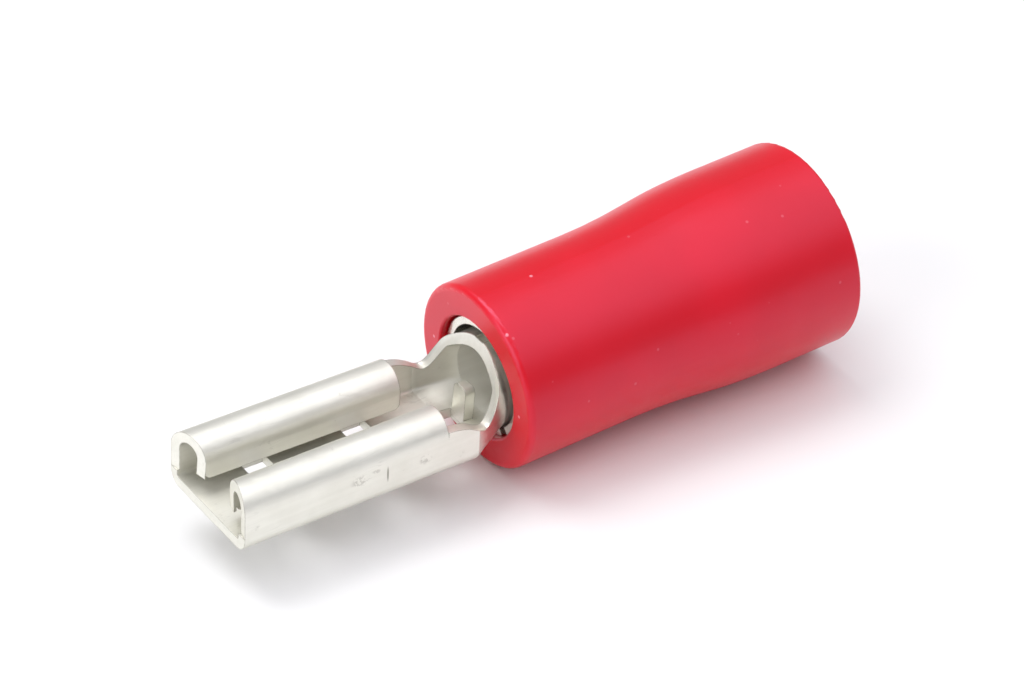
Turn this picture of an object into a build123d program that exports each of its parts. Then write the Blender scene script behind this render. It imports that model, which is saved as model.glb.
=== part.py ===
"""Insulated female push-on terminal for a 2.8 mm tab, lying on its sleeve.

A tinned sheet is stamped and folded into one piece: a tab receptacle with two rolled edges, an open
neck with a lanced tab stop, and a wire barrel rolled round to a seam.  A thin split grip sleeve lies
round the barrel, and a red insulating sleeve covers both.  The terminal lies on the sleeve's front
rim and on the end of its flare, so its axis dips a little towards the nose.
"""
import os
from math import asin, atan2, cos, degrees, hypot, radians, sin, sqrt

from build123d import *

# Sheet and the tab that it takes
sheet = 0.3
tab_width = 2.8
tab_side_clearance = 0.1
tab_gap = 0.36

# Receptacle
receptacle_length = 6.1
receptacle_rear_narrowing = 0.1
receptacle_height = 1.77
floor_bend_radius = 0.4
roll_radius = 0.61
lip_tuck_angle = 4.0
lip_setback = 0.3
lip_lead_in_radius = 0.2
lip_rear_radius = 0.15
first_window_from_nose = 1.98
window_spacing = 2.95
window_length = 0.75
window_width = 2.4

# Neck between receptacle and barrel
neck_length = 2.1
neck_straight = 0.95
floor_below_axis = 1.08
bend_angle = 3.0
bend_before_barrel = 1.2
neck_wall_above_axis = 0.36
neck_dip_above_axis = -0.13
neck_dip_before_barrel = 0.86
neck_sweep_rise = 3.0
barrel_flat_angle = 40.0
stop_before_barrel = 0.7
stop_width = 0.55
stop_height = 0.95
stop_lean = 6.0
stop_corner_radius = 0.18
lance_kerf = 0.06

# Wire barrel
barrel_diameter = 2.66
barrel_length = 5.0
barrel_seam = 0.36

# Grip sleeve round the barrel
grip_sheet = 0.22
grip_length = 6.2
grip_recess = 0.2
grip_seam = 0.3
grip_seam_angle = 233.0
grip_inner_clearance = 0.11
grip_outer_clearance = 0.04
grip_bedding_gap = 0.01

# Insulating sleeve
sleeve_length = 10.4
sleeve_lead = 0.12
sleeve_front_wall = 0.87
sleeve_rear_diameter = 5.7
sleeve_rear_wall = 0.58
sleeve_straight = 3.8
sleeve_flare = 4.3
sleeve_rear_bore_depth = 3.1
sleeve_bore_taper = 0.7
front_rim_radius = 0.18
rear_rim_radius = 0.12
bore_edge_radius = 0.08
rest_flat_width = 0.8

# Sizes that follow from those above
receptacle_width = tab_width + 2 * (tab_side_clearance + sheet)
receptacle_rear_width = receptacle_width - receptacle_rear_narrowing
barrel_start = receptacle_length + neck_length
barrel_radius = barrel_diameter / 2
grip_inner_radius = barrel_radius + grip_inner_clearance
grip_outer_radius = grip_inner_radius + grip_sheet
front_bore_radius = grip_outer_radius + grip_outer_clearance
front_radius = front_bore_radius + sleeve_front_wall
rear_radius = sleeve_rear_diameter / 2
rear_bore_radius = rear_radius - sleeve_rear_wall
barrel_drop = grip_inner_clearance
grip_shift = grip_outer_clearance - grip_bedding_gap
sleeve_start = barrel_start - sleeve_lead
sleeve_end = sleeve_start + sleeve_length
flare_start = sleeve_start + sleeve_straight
flare_end = flare_start + sleeve_flare

# The flare is two equal arcs that meet halfway; its outer arc and the front rim carry the terminal
flare_rise = rear_radius - front_radius
flare_arc_radius = (sleeve_flare ** 2 + flare_rise ** 2) / (4 * flare_rise)
rest_span = flare_end - sleeve_start - front_rim_radius
rest_step = (rear_radius - flare_arc_radius) - (front_radius - front_rim_radius)
rest_bulge = flare_arc_radius - front_rim_radius
lie_angle = degrees(asin(rest_bulge / hypot(rest_span, rest_step)) + atan2(rest_step, rest_span))
rest_flat_depth = rear_radius - sqrt(rear_radius ** 2 - (rest_flat_width / 2) ** 2)


def pitched_plane(origin, angle):
    """A plane whose X runs from nose to rear, raised by the angle, with Y level."""
    rise = radians(angle)
    return Plane(origin=origin, x_dir=(cos(rise), 0, sin(rise)), z_dir=(-sin(rise), 0, cos(rise)))


def across(frame, x):
    """The plane square to a frame's X at x: sideways is its X, up is its Y."""
    return Plane(origin=frame.from_local_coords((x, 0, 0)), x_dir=frame.y_dir, z_dir=frame.x_dir)


def side_of(frame):
    """A frame's middle plane seen from the near side: rearward is its X, up is its Y."""
    return Plane(origin=frame.origin, x_dir=frame.x_dir, z_dir=-frame.y_dir)


# The sleeve's axis lies in this frame, with x counted from the nose; it is set down on z = 0
dip = radians(lie_angle)
axis_height = (
    (front_radius - front_rim_radius) * cos(dip)
    + front_rim_radius
    - (sleeve_start + front_rim_radius) * sin(dip)
    - rest_flat_depth
)
rear_reach = (
    (sleeve_end - rear_rim_radius) * cos(dip) + (rear_radius - rear_rim_radius) * sin(dip) + rear_rim_radius
)
bend_x = barrel_start - bend_before_barrel
nose_pitch = radians(bend_angle) - dip
nose_reach = (
    barrel_drop * sin(dip) + bend_x * (cos(dip) - cos(nose_pitch)) - floor_below_axis * sin(nose_pitch)
)
sleeve_axis = pitched_plane((-(rear_reach + nose_reach) / 2, 0, axis_height), lie_angle)

# Inside the sleeve, the grip sleeve lies against the bore on its seam's side, and the barrel hangs low
grip_side = radians(grip_seam_angle)
grip_axis = pitched_plane(
    sleeve_axis.from_local_coords((0, grip_shift * cos(grip_side), grip_shift * sin(grip_side))), lie_angle
)
axis = sleeve_axis.offset(-barrel_drop)

# The receptacle is bent up from the barrel axis, about a point in the neck
socket = pitched_plane(axis.from_local_coords((bend_x, 0, 0)), lie_angle - bend_angle)
nose = -bend_x
socket_end = nose + receptacle_length
socket_top = receptacle_height - floor_below_axis
lip_tip = sheet + tab_gap - floor_below_axis
lip_front = nose + lip_setback
roll_gap = receptacle_width - 4 * roll_radius


def folded_section(plane, width):
    """The folded sheet in section: floor, wall, roll and lip on each side."""
    with BuildSketch(plane) as section:
        with BuildLine():
            floor = Line((0, -floor_below_axis), (width / 2 - floor_bend_radius, -floor_below_axis))
            corner = JernArc(floor @ 1, floor % 1, floor_bend_radius, 90)
            wall = Line(corner @ 1, (width / 2, socket_top - roll_radius))
            roll = JernArc(wall @ 1, wall % 1, roll_radius, 180 + lip_tuck_angle)
            lip_fall = ((roll @ 1).Y - lip_tip) / cos(radians(lip_tuck_angle))
            PolarLine(roll @ 1, lip_fall, direction=roll % 1)
            offset(amount=sheet, side=Side.RIGHT)
        make_face()
        mirror(about=Plane.YZ)
    return section.sketch


# Receptacle: the folded section runs from the mouth to a slightly narrower rear end
with BuildPart() as receptacle:
    mouth = folded_section(across(socket, nose), receptacle_width)
    rear_end = folded_section(across(socket, socket_end), receptacle_rear_width)
    loft([mouth, rear_end], ruled=True)

    # At the mouth both rolls are set back from wall to lip, which leads the tab in
    with BuildSketch(socket.offset(lip_tip - tab_gap / 2)):
        with BuildLine():
            Polyline(
                (nose, -receptacle_width / 2),
                (nose + lip_setback, -roll_gap / 2),
                (nose + lip_setback, roll_gap / 2),
                (nose, receptacle_width / 2),
                close=True,
            )
        make_face()
    extrude(amount=receptacle_height, mode=Mode.SUBTRACT)

    # The free corners of both lips are rounded
    with BuildSketch(side_of(socket)):
        for end, inward, radius in ((lip_front, 1, lip_lead_in_radius), (socket_end, -1, lip_rear_radius)):
            with Locations((end + inward * radius / 2, lip_tip + radius / 2)):
                Rectangle(radius, radius)
            with Locations((end + inward * radius, lip_tip + radius)):
                Circle(radius, mode=Mode.SUBTRACT)
    extrude(amount=roll_gap / 2 + 2 * sheet, both=True, mode=Mode.SUBTRACT)

    # Two windows pierced through the floor from side to side
    floor_middle = sheet / 2 - floor_below_axis
    with BuildSketch(socket.offset(floor_middle)):
        for window in range(2):
            with Locations((nose + first_window_from_nose + window * window_spacing, 0)):
                Rectangle(window_length, window_width)
    extrude(amount=sheet, both=True, mode=Mode.SUBTRACT)


def round_section(radius):
    """A circle in eight arcs, to meet the eight edges of a rounded rectangle."""
    for quarter in range(4):
        CenterArc((0, 0), radius, 90 * quarter - barrel_flat_angle / 2, barrel_flat_angle)
        CenterArc((0, 0), radius, 90 * quarter + barrel_flat_angle / 2, 90 - barrel_flat_angle)


# The stop stands on the neck's floor, which runs straight down to the barrel
neck_turn = socket_end + neck_straight
stop_x = barrel_start - stop_before_barrel
floor_at_turn = axis.to_local_coords(socket.from_local_coords((neck_turn, 0, -floor_below_axis)))
floor_slope = (floor_at_turn.Z + barrel_radius) / (barrel_start - floor_at_turn.X)
stop_foot = stop_before_barrel * floor_slope - barrel_radius + sheet
stop_frame = pitched_plane(axis.from_local_coords((stop_x, 0, stop_foot)), lie_angle - stop_lean)

# Neck: the folded trough runs on from the receptacle, then closes in to the round barrel
neck_height = 2 * floor_below_axis
with BuildPart() as neck:
    for inset, mode in ((0, Mode.ADD), (sheet, Mode.SUBTRACT)):
        with BuildSketch(across(socket, neck_turn)) as trough:
            RectangleRounded(
                receptacle_rear_width - 2 * inset, neck_height - 2 * inset, floor_bend_radius - inset
            )
        with BuildSketch(across(axis, barrel_start)):
            with BuildLine():
                round_section(barrel_radius - inset)
            make_face()
        loft(mode=mode)
        extrude(trough.sketch, amount=-neck_straight, mode=mode)

    # The walls are trimmed from the side: they sink behind the rolls and sweep up to the barrel's top
    with BuildSketch(side_of(axis)):
        with BuildLine():
            trim_start = receptacle_length - sheet
            trim_top = barrel_diameter
            wall_top = Spline(
                (trim_start, neck_wall_above_axis),
                (barrel_start - neck_dip_before_barrel, neck_dip_above_axis),
                (barrel_start, barrel_radius),
                tangents=((1, 0), (1, neck_sweep_rise)),
            )
            Polyline(wall_top @ 1, (barrel_start, trim_top), (trim_start, trim_top), wall_top @ 0)
        make_face()
    extrude(amount=receptacle_width, both=True, mode=Mode.SUBTRACT)

    # The stop is lanced out of the floor, which leaves a window in front of its foot
    with BuildSketch(axis):
        with Locations((stop_x - stop_height / 2, 0)):
            Rectangle(stop_height, stop_width + 2 * lance_kerf)
    extrude(amount=-neck_height, mode=Mode.SUBTRACT)

# Terminal: receptacle, neck, stop and barrel are one folded sheet
with BuildPart() as terminal:
    add(receptacle.part)
    add(neck.part)
    with BuildSketch(across(stop_frame, 0)):
        with BuildLine():
            Polyline(
                (-stop_width / 2, stop_height),
                (-stop_width / 2, -sheet / 2),
                (stop_width / 2, -sheet / 2),
                (stop_width / 2, stop_height),
                close=True,
            )
        make_face()
        fillet(vertices().group_by(Axis.Y)[-1], stop_corner_radius)
    extrude(amount=sheet)
    with BuildSketch(across(axis, barrel_start)):
        Circle(barrel_radius)
        Circle(barrel_radius - sheet, mode=Mode.SUBTRACT)
        with Locations((0, barrel_radius)):
            Rectangle(barrel_seam, barrel_diameter, mode=Mode.SUBTRACT)
    extrude(amount=barrel_length)
terminal.part.label = "terminal"

# Grip sleeve: a thin sheet rolled round the barrel, with its seam low on the near side
with BuildPart() as grip_sleeve:
    with BuildSketch(across(grip_axis, sleeve_start + grip_recess)):
        Circle(grip_outer_radius)
        Circle(grip_inner_radius, mode=Mode.SUBTRACT)
        with PolarLocations(grip_outer_radius, 1, grip_seam_angle):
            Rectangle(grip_outer_radius, grip_seam, mode=Mode.SUBTRACT)
    extrude(amount=grip_length)
grip_sleeve.part.label = "grip_sleeve"

# Insulating sleeve: turned profile, wider behind for the wire's own insulation
with BuildPart() as insulating_sleeve:
    turning = Axis(sleeve_axis.origin, sleeve_axis.x_dir)
    with BuildSketch(side_of(sleeve_axis)):
        with BuildLine():
            flare_middle = ((flare_start + flare_end) / 2, (front_radius + rear_radius) / 2)
            bore_step = sleeve_end - sleeve_rear_bore_depth
            outside = Line((sleeve_start, front_radius), (flare_start, front_radius))
            hollow = RadiusArc(outside @ 1, flare_middle, -flare_arc_radius)
            crest = RadiusArc(hollow @ 1, (flare_end, rear_radius), flare_arc_radius)
            Polyline(
                crest @ 1,
                (sleeve_end, rear_radius),
                (sleeve_end, rear_bore_radius),
                (bore_step, rear_bore_radius),
                (bore_step - sleeve_bore_taper, front_bore_radius),
                (sleeve_start, front_bore_radius),
                outside @ 0,
            )
        make_face()
    revolve(axis=turning)
    rims = insulating_sleeve.edges().filter_by(GeomType.CIRCLE).sort_by(turning)
    front_rims = rims[:2].sort_by(SortBy.RADIUS)
    rear_rims = rims[-2:].sort_by(SortBy.RADIUS)
    fillet(front_rims[-1], front_rim_radius)
    fillet(rear_rims[-1], rear_rim_radius)
    fillet(front_rims[0], bore_edge_radius)

    # The soft sleeve is a little flat where it lies
    split(bisect_by=Plane.XY, keep=Keep.TOP)
insulating_sleeve.part.label = "insulating_sleeve"

os.makedirs("parts", exist_ok=True)
for piece in (terminal, grip_sleeve, insulating_sleeve):
    export_step(piece.part, f"parts/{piece.part.label}.step")
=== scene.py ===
"""Looks of an insulated female push-on terminal: tinned sheet, a split grip sleeve and red PVC."""
from math import radians

import bpy
from mathutils import Matrix, Vector

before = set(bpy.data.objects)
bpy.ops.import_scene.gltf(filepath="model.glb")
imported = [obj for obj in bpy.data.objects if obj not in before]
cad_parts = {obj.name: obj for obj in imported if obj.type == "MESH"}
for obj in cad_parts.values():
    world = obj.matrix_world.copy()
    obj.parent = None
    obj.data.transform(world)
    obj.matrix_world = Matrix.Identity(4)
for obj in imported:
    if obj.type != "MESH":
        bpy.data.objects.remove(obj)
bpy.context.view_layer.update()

# The terminal is one strip of brass sheet, stamped, tin-plated and folded: a receptacle with two rolled
# edges, an open neck and a rolled wire barrel. Rolling has left a fine grain along its length, and
# handling has left faint scratches and dull spots on the tin.
MM = 0.001
PER_MM = 1 / MM


class Field:
    """An output socket of a shader tree; arithmetic on it adds the Math nodes."""

    def __init__(self, tree, socket=None):
        self.tree = tree
        self.socket = socket

    def node(self, kind, settings=None, inputs=None, output=0):
        """Adds a node of any kind: its settings first, then a value or a link for each socket."""
        made = self.tree.nodes.new("ShaderNode" + kind)
        for name, value in (settings or {}).items():
            setattr(made, name, value)
        for name, value in (inputs or {}).items():
            connect(value, made.inputs[name])
        return Field(self.tree, made.outputs[output])

    def math(self, operation, *values):
        return self.node("Math", {"operation": operation}, dict(enumerate(values)))

    def __add__(self, other):
        return self.math("ADD", self, other)

    def __sub__(self, other):
        return self.math("SUBTRACT", self, other)

    def __rsub__(self, other):
        return self.math("SUBTRACT", other, self)

    def __mul__(self, other):
        return self.math("MULTIPLY", self, other)

    def __abs__(self):
        return self.math("ABSOLUTE", self)

    __radd__ = __add__
    __rmul__ = __mul__

    def vector(self, operation, *others, output="Vector"):
        return self.node("VectorMath", {"operation": operation}, dict(enumerate((self, *others))), output)

    def coordinate(self, axis):
        return self.node("SeparateXYZ", None, {"Vector": self}, axis)

    def stretched(self, x, y, z):
        """The same place in a space that is scaled by these three numbers."""
        return self.vector("MULTIPLY", (x, y, z))

    def noise(self, scale, detail=2.0, roughness=0.5):
        texture = {"Vector": self, "Scale": scale, "Detail": detail, "Roughness": roughness}
        return self.node("TexNoise", None, texture)

    def near(self, point, radius, stretch=(1, 1, 1)):
        """1 at a point and 0 a radius away from it, in a space that is stretched round the point."""
        offset = self.vector("SUBTRACT", point).stretched(*stretch)
        away = offset.vector("LENGTH", output="Value")
        return 1 - away.between(0.4 * radius, radius)

    def between(self, low, high):
        """0 at low, 1 at high, smooth between them."""
        ends = {"Value": self, "From Min": low, "From Max": high}
        return self.node("MapRange", {"interpolation_type": "SMOOTHSTEP"}, ends)

    def tint(self, low, high):
        """A colour that goes from low to high as this value goes from 0 to 1."""
        return self.node("Mix", {"data_type": "RGBA"}, {0: self, 6: low, 7: high}, 2)


def connect(value, socket):
    """Links a field to a socket, or sets the socket to a plain value."""
    if isinstance(value, Field):
        value.tree.links.new(value.socket, socket)
    else:
        socket.default_value = value


def new_finish(name):
    """A new material: its shader node, and the place on the object in millimetres."""
    material = bpy.data.materials.new(name)
    material.use_nodes = True
    tree = material.node_tree
    shader = tree.nodes["Principled BSDF"]
    place = Field(tree).node("TexCoord", output="Object").stretched(PER_MM, PER_MM, PER_MM)
    return material, shader, place


def feed(shader, **sockets):
    """Links or sets the shader's sockets; an underscore stands for a space."""
    for name, value in sockets.items():
        connect(value, shader.inputs[name.replace("_", " ")])


barrel_mouth = (-1.077, 0, 2.428)
barrel_axis = (0.9993, 0, 0.0367)
neck_flare = 0.37


def tin_zones(place):
    """Zones of the tin: inside the barrel and outside of barrel and neck, where forming has changed it,
    and inside the neck's wings, which takes painted shade and is duller.
    """
    outward = place.vector("SUBTRACT", barrel_mouth)
    along = outward.coordinate("X")
    sideways = abs(outward.coordinate("Y"))
    away = outward.vector("CROSS_PRODUCT", barrel_axis).vector("LENGTH", output="Value")
    bore = 1 - away.between(1.1, 1.25)
    behind_mouth = along.between(-0.3, 0.2)
    outer_skin = (away + along * neck_flare).between(1.15, 1.28)
    behind_receptacle = along.between(-1.3, -1)
    before_mouth = 1 - along.between(-0.4, 0)
    wings = sideways.between(0.6, 0.85)
    inside = bore * behind_mouth
    # The inside of the neck's wings: darkened there as painted shade, and made duller.
    neck_shade_and_dulling = behind_receptacle * before_mouth * wings * (1 - outer_skin)
    burnished = along.between(-1.2, -0.7) * outer_skin
    return inside, neck_shade_and_dulling, burnished


stamped_edge_radius = 0.035 * MM
grain_depth = 0.02 * MM
# The dark tone of worn tin, also used for the painted shade in the creases and inside the neck.
wear_and_shade_colour = (0.2, 0.18, 0.14, 1)
gloss_of_tin = (0.75, 0.74, 0.7, 1)


def tinned(name, dull, bright, roughness, marks=()):
    """Satin tin plate with a rolling grain along X, dull spots, scratches and placed marks, darker along
    its stamped edges, with painted shade in the folded creases and inside the neck.
    """
    material, shader, place = new_finish(name)
    inside, neck_shade_and_dulling, burnished = tin_zones(place)
    grain = place.stretched(0.16, 5, 5).noise(1, 3)
    hairline = place.stretched(0.9, 26, 26).noise(1, 2)
    cloud = place.noise(0.8, 4, 0.6)
    crumbs = place.noise(7, 5, 0.7)
    spots = place.noise(2.3, 5, 0.65).between(0.62, 0.76)
    ridge = abs(place.stretched(0.5, 4.5, 4.5).noise(1, 1) - 0.5)
    scratches = (1 - ridge.between(0, 0.012)) * cloud.between(0.5, 0.65)
    wear_and_shade = spots * 0.22 + scratches * 0.16
    for point, stretch, radius, solidity, darkness in marks:
        stain = crumbs.between(0.6 - solidity, 0.66 - solidity) * darkness
        wear_and_shade = wear_and_shade + place.near(point, radius, stretch) * stain
    # The bevel finds the stamped edges and the folded creases: the tin is darker along the edges, and the
    # darkening in the creases is painted shade.
    edges = place.node("Bevel", {"samples": 6}, {"Radius": stamped_edge_radius})
    facing = place.node("NewGeometry", output="Normal")
    turned = edges.vector("DOT_PRODUCT", facing, output="Value")
    edge_line_and_crease_shade = (1 - turned.between(0.94, 0.999)) * (0.2 + crumbs * 0.6)
    # Painted shade darkens the folded creases and the inside of the neck, on top of the real wear.
    wear_and_shade = wear_and_shade + edge_line_and_crease_shade + neck_shade_and_dulling * 0.2
    metal = (cloud * 0.6 + grain * 0.4).between(0.32, 0.66).tint(dull, bright)
    relief = grain * 0.6 + hairline * 0.4 - scratches * 0.5
    lift = {"Height": relief, "Strength": 0.18, "Distance": grain_depth, "Normal": edges}
    feed(
        shader,
        Base_Color=wear_and_shade.tint(metal, wear_and_shade_colour),
        Metallic=0.85 - inside * 0.75,
        Roughness=roughness + grain * 0.12 + spots * 0.1 + neck_shade_and_dulling * 0.12 - burnished * 0.14,
        Normal=relief.node("Bump", None, lift),
        Specular_Tint=gloss_of_tin,
    )
    return material


def dress(node, material):
    """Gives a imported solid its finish."""
    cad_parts[node].data.materials[0] = material


# Each mark on the near wall: its point in millimetres, stretch, radius, solidity and darkness.
handling_marks = (
    ((-5.03, -1.765, 2.17), (1, 1, 0.12), 0.036, 0.5, 0.75),
    ((-5.84, -1.772, 2.28), (0.6, 1, 1), 0.22, 0.13, 0.32),
    ((-5.39, -1.768, 2.39), (0.5, 1, 1), 0.09, 0.08, 0.3),
    ((-3.88, -1.756, 2.16), (0.8, 1, 1), 0.19, 0.13, 0.32),
    ((-4.26, -1.76, 1.3), (0.5, 1, 1), 0.06, 0.1, 0.4),
)
tin_plate = tinned(
    "tin_plate",
    dull=(0.79, 0.78, 0.705, 1),
    bright=(0.87, 0.86, 0.79, 1),
    roughness=0.4,
    marks=handling_marks,
)
dress("terminal", tin_plate)

# The grip sleeve is a thinner strip of plated brass, rolled round the wire barrel to a seam.
# It is pressed into the insulating sleeve, and only its front edge shows.
grip_plate = tinned(
    "grip_plate",
    dull=(0.82, 0.81, 0.73, 1),
    bright=(0.9, 0.89, 0.82, 1),
    roughness=0.26,
)
dress("grip_sleeve", grip_plate)

# The insulating sleeve is moulded in soft red PVC and flares towards the wire entry.
# Its skin is satin, a little uneven, and holds a few pale specks of dust.
deep_red = (0.63, 0.002, 0.006, 1)
light_red = (0.69, 0.003, 0.01, 1)
dust_colour = (0.8, 0.25, 0.3, 1)
speck_radius = 0.06
skin_depth = 0.02 * MM
dust_places = (
    (0.436, -0.013, 5.165),
    (-1.169, -1.307, 4.733),
    (-1.205, 1.957, 2.64),
    (-1.202, -2.002, 2.566),
)
material, shader, place = new_finish("red_pvc")
unevenness = place.noise(0.35, 2)
skin = place.noise(9, 3, 0.6)
dust = place.node("TexVoronoi", None, {"Vector": place, "Scale": 1.4}, "Distance")
specks = (1 - dust.between(0.03, 0.08)) * 0.3
for point in dust_places:
    specks = specks + place.near(point, speck_radius)
red = unevenness.between(0.3, 0.7).tint(deep_red, light_red)
relief = unevenness * 6 + skin * 0.25 + specks
feed(
    shader,
    Base_Color=specks.tint(red, dust_colour),
    Roughness=0.27 + skin * 0.12,
    Normal=relief.node("Bump", None, {"Height": relief, "Strength": 0.2, "Distance": skin_depth}),
    Specular_IOR_Level=0.62,
    Specular_Tint=(0.64, 0.64, 1, 1),
    Subsurface_Weight=0.2,
    Subsurface_Radius=(1.0, 0.15, 0.1),
    Subsurface_Scale=0.4 * MM,
)
dress("insulating_sleeve", material)

# A plain pale table carries the terminal, under two square soft lights.
# The sky brightens towards a tilted zenith, which lights the tops of the curls and the sleeve.
scene = bpy.context.scene
table_half = 1.5
table_white = (0.86, 0.86, 0.86, 1)
corners = [(x * table_half, y * table_half, 0) for x, y in ((-1, -1), (1, -1), (1, 1), (-1, 1))]
floor_mesh = bpy.data.meshes.new("table")
floor_mesh.from_pydata(corners, [], [(0, 1, 2, 3)])
floor = bpy.data.objects.new("table", floor_mesh)
scene.collection.objects.link(floor)
material, shader, _ = new_finish("white_table")
feed(shader, Base_Color=table_white, Roughness=0.6)
floor_mesh.materials.append(material)


def softbox(name, place, side, watts):
    """A square soft light that looks at the origin."""
    lamp = bpy.data.lights.new(name, "AREA")
    lamp.shape = "SQUARE"
    lamp.size = side
    lamp.energy = watts
    holder = bpy.data.objects.new(name, lamp)
    holder.location = place
    holder.rotation_euler = (-Vector(place)).to_track_quat("-Z", "Y").to_euler()
    scene.collection.objects.link(holder)


softbox("key", (-0.06, 0.11, 0.24), side=0.16, watts=0.36)
softbox("left_fill", (-0.24, -0.02, 0.12), side=0.2, watts=0.32)

zenith = (0.33, -0.2, 0.92)
low_sky = (0.38, 0.38, 0.4, 1)
high_sky = (1.53, 1.53, 1.6, 1)
world = bpy.data.worlds.new("studio")
world.use_nodes = True
direction = Field(world.node_tree).node("TexCoord", output="Generated")
height = direction.vector("DOT_PRODUCT", zenith, output="Value")
feed(world.node_tree.nodes["Background"], Color=height.between(0.6, 0.98).tint(low_sky, high_sky))
scene.world = world
scene.view_settings.view_transform = "Standard"

# The camera looks down on the receptacle's mouth from the near left, through a long lens.
# Its angles, distance and target were fitted to the outlines of the solids.
azimuth = radians(-35.178)
elevation = radians(36.92)
roll = radians(1.844)
distance = 117.506 * MM
target = Vector((0.2669, 0.5005, 2.8)) * MM
camera = bpy.data.objects.new("camera", bpy.data.cameras.new("camera"))
camera.data.sensor_width = 36
camera.data.lens = 158.541
camera.data.clip_start = 0.01
turn = Matrix.Rotation(azimuth, 4, "Z") @ Matrix.Rotation(radians(90) - elevation, 4, "X")
turn = turn @ Matrix.Rotation(roll, 4, "Z")
camera.matrix_world = Matrix.Translation(target) @ turn @ Matrix.Translation((0, 0, distance))
scene.collection.objects.link(camera)
scene.camera = camera
